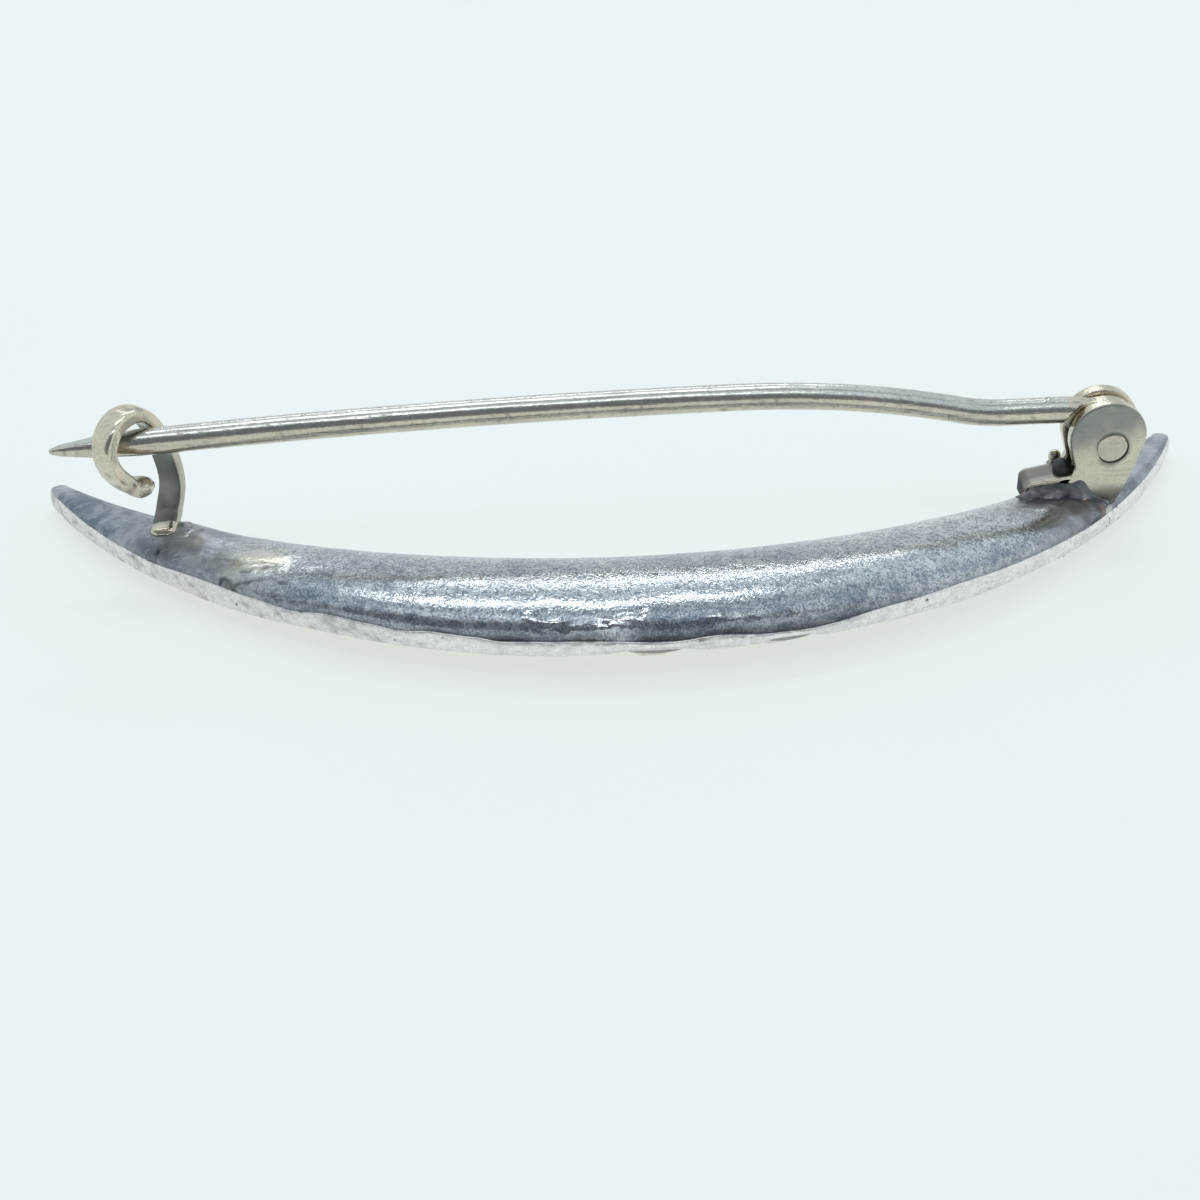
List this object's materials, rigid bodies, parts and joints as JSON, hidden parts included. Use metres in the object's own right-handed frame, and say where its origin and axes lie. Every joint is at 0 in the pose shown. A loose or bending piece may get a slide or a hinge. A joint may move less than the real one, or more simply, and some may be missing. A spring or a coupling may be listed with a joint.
{
  "type": "crescent moon brooch",
  "caption": "Crescent brooch with a row of graduated paste stones, a domed closed back, and a hinged pin that locks under a curled hook.",
  "frame": {"origin": "middle of the brooch's outline, on the surface that the stones' tables rest on", "axes": "+X along the pin from its point to its hinge, +Y from the middle of the crescent towards its horns, +Z out of the back, towards the pin"},
  "size_m": [0.0466, 0.0152, 0.0074],
  "materials": {
    "silver": "worn silver with a grey oxidised skin",
    "nickel_silver": "pale yellowish nickel silver, drawn and worn smooth",
    "paste": "clear old-cut paste, faceted"
  },
  "bodies": {
    "brooch": {"crescent": "silver", "rivet": "nickel_silver", "stone_01": "paste", "stone_02": "paste", "stone_03": "paste", "stone_04": "paste", "stone_05": "paste", "stone_06": "paste", "stone_07": "paste", "stone_08": "paste", "stone_09": "paste", "stone_10": "paste", "stone_11": "paste", "stone_12": "paste", "stone_13": "paste", "stone_14": "paste", "stone_15": "paste", "stone_16": "paste", "stone_17": "paste"},
    "pin_arm": {"pin": "nickel_silver"}
  },
  "joints": [
    {"name": "pin_hinge", "type": "hinge", "parent": "brooch", "child": "pin_arm", "pos_m": [0.01865, 0.00157, 0.00415], "axis": [0, 1, 0], "range_deg": [0, 110]}
  ]
}
